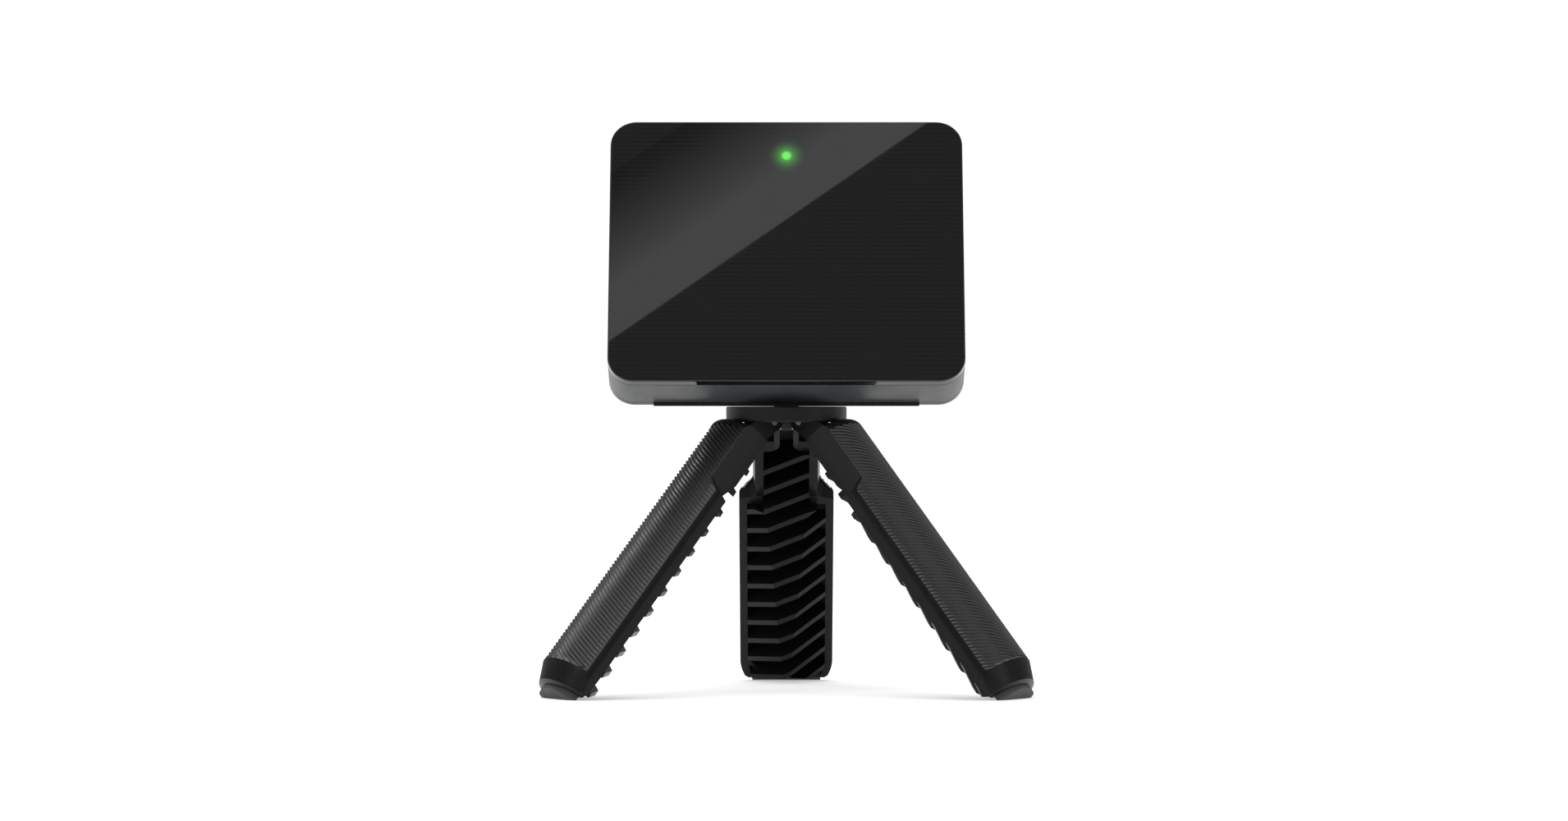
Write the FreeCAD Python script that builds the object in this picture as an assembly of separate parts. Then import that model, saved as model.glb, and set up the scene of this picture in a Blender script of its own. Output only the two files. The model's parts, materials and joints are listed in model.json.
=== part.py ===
import FreeCAD, Part
import math
import os

from FreeCAD import Vector

# Launch monitor: a flat radar head, tilted back, screwed on a mini tripod with three folding legs.
# Millimetres. Z is up and the ground is z = 0. The face looks towards -Y, and +X is to the right
# of someone who stands in front of the face. Everything is first built around the tripod's axis,
# and at the end it is moved so that the box of the whole object stands centred on the origin.

# ---- Head: driving dimensions --------------------------------------------------------------
HEAD_WIDTH = 88.0
HEAD_HEIGHT = 71.0
HEAD_DEPTH = 26.0
HEAD_CORNER = 6.5
HEAD_TILT = 23.1            # the face leans back by this angle from upright
FACE_LOW_Y = -19.9          # lower edge of the face, in front of the tripod's axis
FACE_LOW_Z = 77.25
FOOT_Z = 71.2               # level underside of the head, which stands on the platform

PANEL_DEPTH = 2.4           # glossy front panel, with its skirt
PANEL_SKIN = 1.3
PANEL_WALL = 1.4
FRAME_FRONT = 2.6           # middle frame, from front to back
FRAME_BACK = 13.05
FRAME_WALL = 2.0
COVER_FRONT = 13.2          # rear cover: a flat lip, then the bulge
LIP_BACK = 15.4
LIP_WALL = 1.5
BULGE_HALF_WIDTH = 33.0
BULGE_TOP = 62.0
BULGE_CORNER = 9.0
BULGE_ROUND = 4.5
BULGE_WALL = 1.8
BULGE_INNER_BACK = HEAD_DEPTH - 1.7

CORNER_SCREW_X = 38.8
CORNER_SCREW_INSET = 5.2
CORNER_SCREW_R = 1.0
CORNER_BOSS_R = 2.8

ANTENNA_FRONT = 4.6         # front circuit board
MAIN_FRONT = 16.0           # rear circuit board
BOARD_THICK = 1.0
SPACER_X = 27.0
SPACER_LOW = 17.0
SPACER_HIGH = 54.0
SPACER_R = 2.2
BOARD_SCREW_R = 1.05

PATCH = 3.3                 # one square antenna patch
PATCH_PITCH = 6.2
PATCH_THICK = 0.1
PATCH_ROWS = 8
PATCH_LOW = 12.0
TRANSMIT_COLUMNS = (-30.0, -23.8, -17.6, -11.4)
RECEIVE_COLUMNS = (6.2, 12.4, 24.8, 31.0)

LIGHT_Z = 61.5              # status light, up the face
LIGHT_PIPE_R = 0.9

BUTTON_X = 18.0
BUTTON_Z = 46.0
BUTTON_R = 4.5
BUTTON_GAP = 0.2
BUTTON_TRAVEL = 0.4
BUTTON_PROUD = 0.5

USB_Y = 18.6                # centre of the charging socket in the right side of the bulge
USB_Z = 35.0
USB_LENGTH = 9.0
USB_THICK = 3.2
CAP_LOW = 27.9
CAP_HIGH = 42.0
CAP_HALF_WIDTH = 2.7
CAP_PIN_X = BULGE_HALF_WIDTH + 0.9
CAP_PIN_Z = 26.4
CAP_PIN_R = 0.4
CAP_BARREL_R = 0.8

THREAD_R = 3.175            # 1/4 inch tripod thread
THREAD_FIT = 0.05
INSERT_R = 4.1
INSERT_TOP = 78.3
BOSS_WALL = 1.5             # round the bush, and over it
BOSS_ROOF = 1.2

# ---- Platform: driving dimensions ----------------------------------------------------------
PLATFORM_R = 15.0
PLATFORM_TOP = 71.05
PLATFORM_BOTTOM = 67.2
PLATFORM_ROOF = 69.6        # underside of the roof over the hinge pocket
POCKET_R = 13.2
PAD_THICK = 0.5
PAD_INNER_R = 7.6
PAD_OUTER_R = 14.2
STUD_FLANGE_R = 6.6
STUD_FLANGE_THICK = 0.9
STUD_TOP = 76.4
LUG_HALF = 1.35
LUG_R = 2.2
WASHER_THICK = 0.3
WASHER_R = 1.9

# ---- Legs: driving dimensions. A leg is drawn folded, hanging straight down behind the axis,
# with "down" measured from its hinge pin.
LEG_SPLAY = 39.3
LEG_TURNS = {"rear": 0.0, "left": 120.0, "right": 240.0}
PIVOT_R = 5.13              # hinge pin's distance from the tripod's axis
PIVOT_Z = 67.2
PIN_R = 0.8
PIN_FIT = 0.05
EAR_INNER = 1.7
EAR_OUTER = 3.1
EAR_R = 2.2
EAR_BACK = 5.5              # the ears join the shell this far behind the pin
EAR_GAP_END = 10.5          # the gap between them ends this far behind the axis
EAR_ROUND = 2.8             # round corners where the gap between the ears meets the cavity
SHELL_CENTRE = 0.5          # the round outside of a folded leg is centred this far off the axis
SHELL_R = 15.35             # smooth boot and side bands
GRIP_R = 15.0               # floor of the shallow field that the grip fills
GRIP_HALF = 11.2
GRIP_START = 8.9
GRIP_END = 82.5
SHELL_WALL = 1.9            # left under the grip
SHELL_HALF = 12.0
SHELL_RIM = 7.43            # plane of the long rims, from the axis
SIDE_ROUND = 2.0            # between the round back and the flat sides
NECK_HALF = 7.75            # at the rims; the neck's sides flare out towards the back
NECK_FLARE = 0.103
NECK_RIM = 5.7
RAMP_START = 21.0           # the neck's rims ramp back to the plane of the long rims
RAMP_END = 26.0
NECK_CAVITY_HALF = 5.75
CAVITY_HALF = 10.0
SHELL_TOP = 6.7
NECK_CEILING = 10.0
SHOULDER_START = 26.05      # at the rims, beside the neck
SHOULDER_END = 27.1         # at the rims, on the outer side
SHOULDER_RISE = 0.3         # how fast the shoulder climbs towards the back
SHOULDER_ROUND = 1.5
WIDE_CAVITY_START = 28.6
CAVITY_CORNER = 2.6
CAVITY_END = 86.6
CAVITY_TAPER = 83.0         # the cavity narrows below this
CAVITY_END_HALF = 9.07
CAVITY_END_R = 12.1
SHELL_END = 87.9
BOOT_START = 82.6
SIDE_CURVE = ((12.0, 80.5), (11.7, 84.4), (10.8, 87.2))     # half width and distance down the boot
BOOT_END_HALF = 9.9
LIP_START = 87.4            # the boot ends in a narrow slanted lip
LIP_R = 13.25
LIP_END_R = 12.1
RIB_PITCH = 6.24
RIB_THICK = 1.4
RIB_SLANT = 26.0
RIB_COUNT = 13
FIRST_RIB = 12.9
RIB_ROOT = 0.3              # the ribs reach this far into the walls
GUSSET = ((-10.2, 81.4), (-10.2, 83.0), (-6.3, 86.8), (-4.6, 86.8))     # across, and down the leg
TOOTH_GAP = 0.5             # the ribs stand out as a wedge that nearly meets those of the other legs
TOOTH_FLAT_TOP = 4.34       # blunt edge of the wedge, from the axis, at the neck's ceiling
TOOTH_FLAT_END = 0.77       # and at the cavity's end
TOOTH_LIFT = 0.8            # the last teeth stay this far off the ground, measured down the leg
PAD_HALF = 8.9
PAD_R = 11.7
PAD_INNER = 7.9
PAD_SEAT = 87.2
PAD_OUTER_END = 89.1        # the sole's outer edge, down the leg
SOLE_FLAT = 0.85            # how much of the sole lies on the ground
SOLE_HALF = 5.5             # beyond this the sole's ends rise
SOLE_LIFT = 0.6

FAR = 200.0                 # longer than anything in the object
PAST = 5.0                  # bodies that cut a leg start this far beyond the axis or above the pin,
AROUND = 20.0               # reach this far to its sides and back
BELOW = 95.0                # and this far down, past the foot


# ---- Small helpers -------------------------------------------------------------------------
def block(x0, x1, y0, y1, z0, z1):
    return Part.makeBox(x1 - x0, y1 - y0, z1 - z0, Vector(x0, y0, z0))


def rod(radius, start, end):
    start, end = Vector(*start), Vector(*end)
    return Part.makeCylinder(radius, start.distanceToPoint(end), start, end - start)


def prism(points, push):
    """A closed outline of straight sides, pushed along a vector."""
    corners = [Vector(*p) for p in points]
    return Part.Face(Part.makePolygon(corners + corners[:1])).extrude(Vector(*push))


def plate(half_width, low, high, corner, front, back, centre=0.0):
    """A rounded rectangle that stands in the XZ plane, extruded from front to back."""
    solid = block(centre - half_width, centre + half_width, front, back, low, high)
    upright = [e for e in solid.Edges if abs(e.Length - (back - front)) < 1e-6
               and abs(e.Vertexes[0].Y - e.Vertexes[1].Y) > 1e-6]
    return solid.makeFillet(corner, upright)


def head_plate(inset, front, back):
    return plate(HEAD_WIDTH / 2 - inset, inset, HEAD_HEIGHT - inset, HEAD_CORNER - inset * 0.9,
                 front, back)


def edges_at_depth(shape, depth):
    return [e for e in shape.Edges if all(abs(v.Y - depth) < 1e-6 for v in e.Vertexes)
            and abs(e.BoundBox.YMax - e.BoundBox.YMin) < 1e-4]


def group(solids):
    return Part.makeCompound(solids)


def fused(first, others):
    return first.fuse(list(others)).removeSplitter()


def place_head(shape):
    """From the head's own frame (x across, y into the head, z up the face) to its place."""
    placed = shape.copy()
    placed.rotate(Vector(0, 0, 0), Vector(1, 0, 0), -HEAD_TILT)
    placed.translate(Vector(0, FACE_LOW_Y, FACE_LOW_Z))
    return placed


def place_leg(shape, turn):
    """Swing a folded rear leg out to its stop and turn it about the tripod's axis."""
    placed = shape.copy()
    placed.rotate(Vector(0, PIVOT_R, PIVOT_Z), Vector(1, 0, 0), LEG_SPLAY)
    placed.rotate(Vector(0, 0, 0), Vector(0, 0, 1), turn)
    return placed


def turned(shape, turn):
    placed = shape.copy()
    placed.rotate(Vector(0, 0, 0), Vector(0, 0, 1), turn)
    return placed


def four_corners():
    for x in (-CORNER_SCREW_X, CORNER_SCREW_X):
        for z in (CORNER_SCREW_INSET, HEAD_HEIGHT - CORNER_SCREW_INSET):
            yield x, z


def four_spacers():
    for x in (-SPACER_X, SPACER_X):
        for z in (SPACER_LOW, SPACER_HIGH):
            yield x, z


# ---- Head: housing -------------------------------------------------------------------------
def front_panel():
    solid = head_plate(0, 0, PANEL_DEPTH)
    solid = solid.makeFillet(0.35, edges_at_depth(solid, 0))
    solid = solid.cut(head_plate(PANEL_WALL, PANEL_SKIN, PANEL_DEPTH + 1))
    return solid.cut(rod(LIGHT_PIPE_R, (0, -1, LIGHT_Z), (0, PANEL_DEPTH, LIGHT_Z)))


def face_gasket():
    return head_plate(0.5, PANEL_DEPTH, FRAME_FRONT).cut(head_plate(1.5, 0, FRAME_BACK))


def mid_frame():
    solid = head_plate(0, FRAME_FRONT, FRAME_BACK).cut(head_plate(FRAME_WALL, 0, FRAME_BACK + 1))
    ledge_front = ANTENNA_FRONT + BOARD_THICK
    ledge = head_plate(1, ledge_front, ledge_front + 1.2).cut(
        plate(38, 6, HEAD_HEIGHT - 6, 4, 0, FRAME_BACK))
    bosses = [rod(CORNER_BOSS_R, (x, ledge_front, z), (x, FRAME_BACK, z)) for x, z in four_corners()]
    solid = fused(solid, [ledge] + bosses)
    for x, z in four_corners():
        solid = solid.cut(rod(CORNER_SCREW_R, (x, 7.5, z), (x, FRAME_BACK + 1, z)))
    return solid


def cover_gasket():
    return head_plate(0.5, FRAME_BACK, COVER_FRONT).cut(head_plate(1.5, 0, FAR))


def bulge(inset, back):
    """The raised back of the head; its level underside is the foot the head stands on."""
    solid = plate(BULGE_HALF_WIDTH - inset, -8, BULGE_TOP - inset, BULGE_CORNER - inset,
                  COVER_FRONT - inset, back)
    solid = solid.makeFillet(BULGE_ROUND - inset, edges_at_depth(solid, back))
    placed = place_head(solid)
    return placed.cut(block(-FAR, FAR, -FAR, FAR, -FAR, FOOT_Z + inset))


def rear_cover():
    lip = head_plate(0, COVER_FRONT, LIP_BACK)
    lip = lip.makeFillet(0.9, edges_at_depth(lip, LIP_BACK))
    lip = lip.cut(plate(36, 7, HEAD_HEIGHT - 7, 4, 0, LIP_BACK - LIP_WALL))
    solid = fused(place_head(lip), [bulge(0, HEAD_DEPTH)])
    solid = solid.cut(bulge(BULGE_WALL, BULGE_INNER_BACK))
    boss = rod(INSERT_R + BOSS_WALL, (0, 0, FOOT_Z), (0, 0, INSERT_TOP + BOSS_ROOF))
    solid = fused(solid, [boss.common(bulge(0.01, HEAD_DEPTH - 0.01))])
    solid = solid.cut(rod(INSERT_R, (0, 0, FOOT_Z - 1), (0, 0, INSERT_TOP)))
    holes = [rod(CORNER_SCREW_R, (x, 10, z), (x, FAR, z)) for x, z in four_corners()]
    holes += [rod(1.9, (x, LIP_BACK - 1.2, z), (x, FAR, z)) for x, z in four_corners()]
    holes.append(rod(BUTTON_R + BUTTON_GAP, (BUTTON_X, 24, BUTTON_Z), (BUTTON_X, 30, BUTTON_Z)))
    holes.append(slot_through_side(USB_LENGTH + 0.6, USB_THICK + 0.6, 30, 40))
    solid = solid.cut([place_head(hole) for hole in holes])
    return fused(solid, [place_head(lug) for lug in cap_lugs()])


def slot_through_side(length, thick, x0, x1):
    """A slot with round ends, long up the face, that runs across the head."""
    half = length / 2 - thick / 2
    middle = block(x0, x1, USB_Y - thick / 2, USB_Y + thick / 2, USB_Z - half, USB_Z + half)
    ends = [rod(thick / 2, (x0, USB_Y, USB_Z + z), (x1, USB_Y, USB_Z + z)) for z in (-half, half)]
    return fused(middle, ends)


def cap_lugs():
    lugs = []
    for y0, y1 in ((USB_Y - CAP_HALF_WIDTH, USB_Y - 1.6), (USB_Y + 1.6, USB_Y + CAP_HALF_WIDTH)):
        base = block(BULGE_HALF_WIDTH - 0.5, CAP_PIN_X, y0, y1, CAP_PIN_Z - 0.9, CAP_PIN_Z + 0.9)
        nose = rod(0.9, (CAP_PIN_X, y0, CAP_PIN_Z), (CAP_PIN_X, y1, CAP_PIN_Z))
        bore = rod(CAP_PIN_R, (CAP_PIN_X, y0 - 1, CAP_PIN_Z), (CAP_PIN_X, y1 + 1, CAP_PIN_Z))
        lugs.append(fused(base, [nose]).cut(bore))
    return lugs


def cover_screws():
    screws = []
    for x, z in four_corners():
        shank = rod(CORNER_SCREW_R, (x, 7.8, z), (x, LIP_BACK - 1.2, z))
        head = rod(1.75, (x, LIP_BACK - 1.2, z), (x, LIP_BACK - 0.2, z))
        cross = fused(block(x - 1.1, x + 1.1, LIP_BACK - 0.8, LIP_BACK, z - 0.25, z + 0.25),
                      [block(x - 0.25, x + 0.25, LIP_BACK - 0.8, LIP_BACK, z - 1.1, z + 1.1)])
        screws.append(fused(shank, [head]).cut(cross))
    return group(screws)


def tripod_insert():
    """Threaded bush for the tripod stud, drawn with a plain bore."""
    bush = rod(INSERT_R, (0, 0, FOOT_Z), (0, 0, INSERT_TOP))
    return bush.cut(rod(THREAD_R + THREAD_FIT, (0, 0, FOOT_Z - 1), (0, 0, INSERT_TOP + 1)))


# ---- Head: electronics ---------------------------------------------------------------------
def antenna_board():
    return plate(40.0, 4.0, HEAD_HEIGHT - 4.0, 3.0, ANTENNA_FRONT, ANTENNA_FRONT + BOARD_THICK)


def patches(columns):
    solids = []
    for x in columns:
        for row in range(PATCH_ROWS):
            z = PATCH_LOW + row * PATCH_PITCH
            solids.append(block(x - PATCH / 2, x + PATCH / 2, ANTENNA_FRONT - PATCH_THICK, ANTENNA_FRONT,
                                z, z + PATCH))
    return group(solids)


def radar_shield():
    back = ANTENNA_FRONT + BOARD_THICK
    can = plate(15, 24, 46, 1.5, back, back + 2.8, centre=-10)
    return can.cut(plate(14.7, 24.3, 45.7, 1.2, back - 1, back + 2.5, centre=-10))


def radar_chip():
    back = ANTENNA_FRONT + BOARD_THICK
    return block(-15, -5, back, back + 1.2, 30, 40)


def board_link():
    return block(12, 28, ANTENNA_FRONT + BOARD_THICK, MAIN_FRONT, 25, 29.5)


def board_spacers():
    back = ANTENNA_FRONT + BOARD_THICK
    posts = []
    for x, z in four_spacers():
        post = rod(SPACER_R, (x, back, z), (x, MAIN_FRONT, z))
        posts.append(post.cut(rod(BOARD_SCREW_R, (x, 9.5, z), (x, FAR, z))))
    return group(posts)


def board_screws():
    screws = []
    seat = MAIN_FRONT + BOARD_THICK
    for x, z in four_spacers():
        shank = rod(BOARD_SCREW_R, (x, 10, z), (x, seat, z))
        head = rod(1.9, (x, seat, z), (x, seat + 1.0, z))
        slot = block(x - 1.3, x + 1.3, seat + 0.5, seat + 2, z - 0.25, z + 0.25)
        screws.append(fused(shank, [head]).cut(slot))
    return group(screws)


def main_board():
    board = plate(30.4, 14.2, 58.0, 3.5, MAIN_FRONT, MAIN_FRONT + BOARD_THICK)
    return board.cut([rod(BOARD_SCREW_R, (x, 10, z), (x, 20, z)) for x, z in four_spacers()])


def processor_shield():
    can = plate(9, 34, 50, 1.0, MAIN_FRONT - 2.2, MAIN_FRONT, centre=-12)
    return can.cut(plate(8.7, 34.3, 49.7, 0.7, MAIN_FRONT - 1.9, MAIN_FRONT + 1, centre=-12))


def processor_chip():
    return block(-17, -7, MAIN_FRONT - 1.2, MAIN_FRONT, 37, 47)


def wireless_module():
    base = block(6, 20, MAIN_FRONT - 0.8, MAIN_FRONT, 38, 53)
    return fused(base, [plate(6.3, 38.7, 48, 0.6, MAIN_FRONT - 2.2, MAIN_FRONT - 0.8, centre=13)])


def board_parts():
    """Small chips, coils and capacitors on the rear board's front side."""
    rows = [(-24, 22, 5.0, 1.6), (-16, 22, 3.2, 1.2), (-9, 21, 6.0, 2.4), (0, 20, 2.0, 0.9),
            (3.5, 20, 2.0, 0.9), (7, 20, 2.0, 0.9), (-24, 30, 2.5, 1.0), (-24, 34, 2.5, 1.0),
            (0, 32, 4.0, 1.4)]
    return group([block(x, x + side, MAIN_FRONT - tall, MAIN_FRONT, z, z + side * 0.75)
                  for x, z, side, tall in rows])


def battery_cell():
    return plate(19, 18, 55, 2.0, 18.1, 23.2, centre=-10)


def battery_foam():
    return plate(15, 22, 51, 2.0, 23.2, BULGE_INNER_BACK - 0.05, centre=-10)


def battery_lead():
    wires = [rod(0.55, (9, 20.6, z), (12.6, 20.6, z)) for z in (25.2, 26.8)]
    plug = block(12.6, 17.0, MAIN_FRONT + BOARD_THICK, 21.6, 23.6, 28.4)
    return fused(plug, wires)


def status_led():
    return block(-1.1, 1.1, ANTENNA_FRONT - 0.7, ANTENNA_FRONT, LIGHT_Z - 0.7, LIGHT_Z + 0.7)


def light_pipe():
    return rod(LIGHT_PIPE_R, (0, 0.1, LIGHT_Z), (0, ANTENNA_FRONT - 0.7, LIGHT_Z))


def power_button():
    cap = rod(BUTTON_R, (BUTTON_X, 24.5, BUTTON_Z), (BUTTON_X, HEAD_DEPTH + BUTTON_PROUD, BUTTON_Z))
    cap = cap.makeFillet(0.3, edges_at_depth(cap, HEAD_DEPTH + BUTTON_PROUD))
    flange = rod(BUTTON_R + 1.0, (BUTTON_X, 23.2, BUTTON_Z), (BUTTON_X, 24.0, BUTTON_Z))
    neck = rod(BUTTON_R, (BUTTON_X, 23.6, BUTTON_Z), (BUTTON_X, 24.8, BUTTON_Z))
    stem = rod(1.4, (BUTTON_X, 20.1, BUTTON_Z), (BUTTON_X, 24, BUTTON_Z))
    return fused(cap, [flange, neck, stem])


def button_switch():
    seat = MAIN_FRONT + BOARD_THICK
    body = block(BUTTON_X - 3, BUTTON_X + 3, seat, seat + 1.8, BUTTON_Z - 3, BUTTON_Z + 3)
    plunger_top = 20.1 - BUTTON_TRAVEL - 0.1
    plunger = rod(1.7, (BUTTON_X, seat + 1, BUTTON_Z), (BUTTON_X, plunger_top, BUTTON_Z))
    return fused(body, [plunger])


def usb_socket():
    outer = slot_through_side(USB_LENGTH, USB_THICK, 23.8, BULGE_HALF_WIDTH - BULGE_WALL)
    outer = outer.cut(slot_through_side(USB_LENGTH - 0.7, USB_THICK - 0.7, 25.0, FAR))
    tongue = block(24.5, 30.4, USB_Y - 0.35, USB_Y + 0.35, USB_Z - 3.2, USB_Z + 3.2)
    return fused(outer, [tongue])


def usb_cap():
    x0 = BULGE_HALF_WIDTH + 0.1
    flap = block(x0, x0 + 1.3, USB_Y - CAP_HALF_WIDTH, USB_Y + CAP_HALF_WIDTH, CAP_LOW, CAP_HIGH)
    flap = flap.makeFillet(0.5, [e for e in flap.Edges if all(v.X > x0 + 1 for v in e.Vertexes)])
    strap = block(x0, x0 + 1.3, USB_Y - 1.4, USB_Y + 1.4, CAP_PIN_Z, CAP_LOW + 0.5)
    barrel = rod(CAP_BARREL_R, (CAP_PIN_X, USB_Y - 1.4, CAP_PIN_Z), (CAP_PIN_X, USB_Y + 1.4, CAP_PIN_Z))
    plug = slot_through_side(USB_LENGTH - 0.2, USB_THICK - 0.2, BULGE_HALF_WIDTH - 1.5, x0 + 0.5)
    solid = fused(flap, [strap, barrel, plug])
    return solid.cut(rod(CAP_PIN_R + PIN_FIT, (CAP_PIN_X, 0, CAP_PIN_Z), (CAP_PIN_X, 40, CAP_PIN_Z)))


def usb_cap_pin():
    return rod(CAP_PIN_R, (CAP_PIN_X, USB_Y - CAP_HALF_WIDTH, CAP_PIN_Z),
               (CAP_PIN_X, USB_Y + CAP_HALF_WIDTH, CAP_PIN_Z))


# ---- Platform ------------------------------------------------------------------------------
def hinge_lug():
    barrel = rod(LUG_R, (-LUG_HALF, PIVOT_R, PIVOT_Z), (LUG_HALF, PIVOT_R, PIVOT_Z))
    root = block(-LUG_HALF, LUG_HALF, PIVOT_R - LUG_R, PIVOT_R + LUG_R, PIVOT_Z, PLATFORM_ROOF + 0.1)
    return fused(barrel, [root])


def platform_disc():
    disc = rod(PLATFORM_R, (0, 0, PLATFORM_BOTTOM), (0, 0, PLATFORM_TOP))
    rims = [e for e in disc.Edges if e.Closed and abs(e.BoundBox.ZMax - e.BoundBox.ZMin) < 1e-4]
    disc = disc.makeFillet(0.35, rims)
    disc = disc.cut(rod(POCKET_R, (0, 0, 0), (0, 0, PLATFORM_ROOF)))
    disc = fused(disc, [turned(hinge_lug(), turn) for turn in LEG_TURNS.values()])
    groove = rod(PAD_OUTER_R, (0, 0, PLATFORM_TOP - PAD_THICK), (0, 0, FAR)).cut(
        rod(PAD_INNER_R, (0, 0, 0), (0, 0, FAR)))
    disc = disc.cut([groove, stud_flange(), rod(0.9, (0, 0, PLATFORM_ROOF - 1), (0, 0, FAR))])
    pins = [turned(leg_pin(), turn) for turn in LEG_TURNS.values()]
    return disc.cut(pins)


def platform_pad():
    ring = rod(PAD_OUTER_R, (0, 0, PLATFORM_TOP - PAD_THICK), (0, 0, PLATFORM_TOP))
    return ring.cut(rod(PAD_INNER_R, (0, 0, 0), (0, 0, FAR)))


def stud_flange():
    """Six-sided flange that keeps the stud from turning in the platform."""
    first = Vector(STUD_FLANGE_R, 0, PLATFORM_TOP - STUD_FLANGE_THICK)
    outline = Part.makePolygon([turned(Part.Vertex(first), 60 * i).Point for i in range(7)])
    return Part.Face(outline).extrude(Vector(0, 0, STUD_FLANGE_THICK))


def tripod_stud():
    shaft = rod(THREAD_R, (0, 0, PLATFORM_TOP - 0.5), (0, 0, STUD_TOP))
    tip = [e for e in shaft.Edges if e.Closed and e.BoundBox.ZMin > STUD_TOP - 0.01]
    stud = fused(stud_flange(), [shaft.makeChamfer(0.6, tip)])
    return stud.cut(rod(0.9, (0, 0, 60), (0, 0, PLATFORM_TOP + 2.5)))


def stud_screw():
    shank = rod(0.9, (0, 0, PLATFORM_ROOF - 0.5), (0, 0, PLATFORM_TOP + 2.4))
    head = rod(1.8, (0, 0, PLATFORM_ROOF - 1.3), (0, 0, PLATFORM_ROOF))
    socket = block(-1.3, 1.3, -0.25, 0.25, PLATFORM_ROOF - 2, PLATFORM_ROOF - 0.8)
    return fused(shank, [head]).cut(socket)


def leg_pin():
    return rod(PIN_R, (-EAR_OUTER, PIVOT_R, PIVOT_Z), (EAR_OUTER, PIVOT_R, PIVOT_Z))


def hinge_washers():
    """A thin washer on each side of each hinge lug."""
    rings = []
    for turn in LEG_TURNS.values():
        for x in (LUG_HALF, -LUG_HALF - WASHER_THICK):
            ring = rod(WASHER_R, (x, PIVOT_R, PIVOT_Z), (x + WASHER_THICK, PIVOT_R, PIVOT_Z))
            rings.append(turned(ring.cut(leg_pin()), turn))
    return group(rings)


# ---- Legs ----------------------------------------------------------------------------------
def down(distance):
    return PIVOT_Z - distance


def shell_slice(radius, half, rim, top, end):
    """Part of a leg's cross section, run along the leg: a round back between two flat sides."""
    round_back = rod(radius, (0, SHELL_CENTRE, down(end)), (0, SHELL_CENTRE, down(top)))
    return round_back.common(block(-half, half, rim, FAR, down(end), down(top)))


def across_the_leg(side_view):
    """A side view, as distances behind the axis and down from the pin, pushed through the leg."""
    return prism([(-AROUND, y, down(distance)) for y, distance in side_view], (2 * AROUND, 0, 0))


def boot_envelope():
    """The leg's round back, drawn in towards the foot."""
    outline = [(0, -SHELL_TOP), (SHELL_R, -SHELL_TOP), (SHELL_R, BOOT_START), (LIP_R, LIP_START),
               (LIP_END_R, SHELL_END), (0, SHELL_END)]
    corners = [Vector(radius, 0, down(distance)) for radius, distance in outline]
    side = Part.Face(Part.makePolygon(corners + corners[:1]))
    body = side.revolve(Vector(0, 0, 0), Vector(0, 0, 1), 360)
    body.translate(Vector(0, SHELL_CENTRE, 0))
    return body


def shoulder_cuts():
    """What narrows the leg to its neck: a flared side above a slanted shoulder."""
    cuts = []
    for side in (-1, 1):
        outline = [(side * NECK_HALF, -PAST), (side * NECK_HALF, SHOULDER_START),
                   (side * SHELL_HALF, SHOULDER_END), (side * 1.5 * AROUND, SHOULDER_END),
                   (side * 1.5 * AROUND, -PAST)]
        corners = [(x, SHELL_RIM - 2, down(distance + 2 * SHOULDER_RISE)) for x, distance in outline]
        cut = prism(corners, (side * AROUND * NECK_FLARE, AROUND, AROUND * SHOULDER_RISE))
        widest = NECK_HALF + AROUND * NECK_FLARE + 0.1
        inner = [e for e in cut.Edges if e.Length > AROUND
                 and abs(e.Vertexes[0].Z - e.Vertexes[1].Z) > 1
                 and all(abs(v.X) < widest and v.Z < down(NECK_CEILING) for v in e.Vertexes)]
        cuts.append(cut.makeFillet(SHOULDER_ROUND, inner))
    return cuts


def grip_field():
    """The shallow field on the leg's back, which the grip's ridges fill."""
    core = rod(GRIP_R, (0, SHELL_CENTRE, down(GRIP_END)), (0, SHELL_CENTRE, down(GRIP_START)))
    return block(-GRIP_HALF, GRIP_HALF, 0, AROUND, down(GRIP_END), down(GRIP_START)).cut(core)


def boot_sides():
    """Front view of the whole leg: straight sides that curve in towards the foot."""
    left, right = [[Vector(side * x, 0, down(distance)) for x, distance in SIDE_CURVE] for side in (-1, 1)]
    left_foot, right_foot = [Vector(side * BOOT_END_HALF, 0, down(SHELL_END)) for side in (-1, 1)]
    left_top, right_top = [Vector(side * SHELL_HALF, 0, down(-PAST)) for side in (-1, 1)]
    straight = [(left[2], left_foot), (left_foot, right_foot), (right_foot, right[2]),
                (right[0], right_top), (right_top, left_top), (left_top, left[0])]
    edges = [Part.LineSegment(*ends).toShape() for ends in straight]
    edges += [Part.Arc(*curve).toShape() for curve in (left, right)]
    return Part.Face(Part.Wire(Part.sortEdges(edges)[0])).extrude(Vector(0, AROUND, 0))


def leg_body():
    """A leg's full-width length, with its long edges rounded, drawn in at the foot."""
    body = shell_slice(SHELL_R, SHELL_HALF, SHELL_RIM, SHELL_TOP, SHELL_END)
    long_edges = [e for e in body.Edges if e.Length > 50 and e.CenterOfMass.y > SHELL_RIM + 1]
    return body.makeFillet(SIDE_ROUND, long_edges).common(boot_envelope()).common(boot_sides())


def rim_ramp():
    """What the ramp between the neck's rims and the long rims leaves out."""
    side_view = [(NECK_RIM, RAMP_START), (SHELL_RIM, RAMP_END), (SHELL_RIM, WIDE_CAVITY_START + 2),
                 (0, WIDE_CAVITY_START + 2), (0, RAMP_START)]
    return across_the_leg(side_view)


def neck_rims():
    """The neck stands further in than the long rims, and ramps back to them."""
    return shell_slice(SHELL_R, NECK_HALF, NECK_RIM, SHELL_TOP, RAMP_END).cut(rim_ramp())


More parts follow.
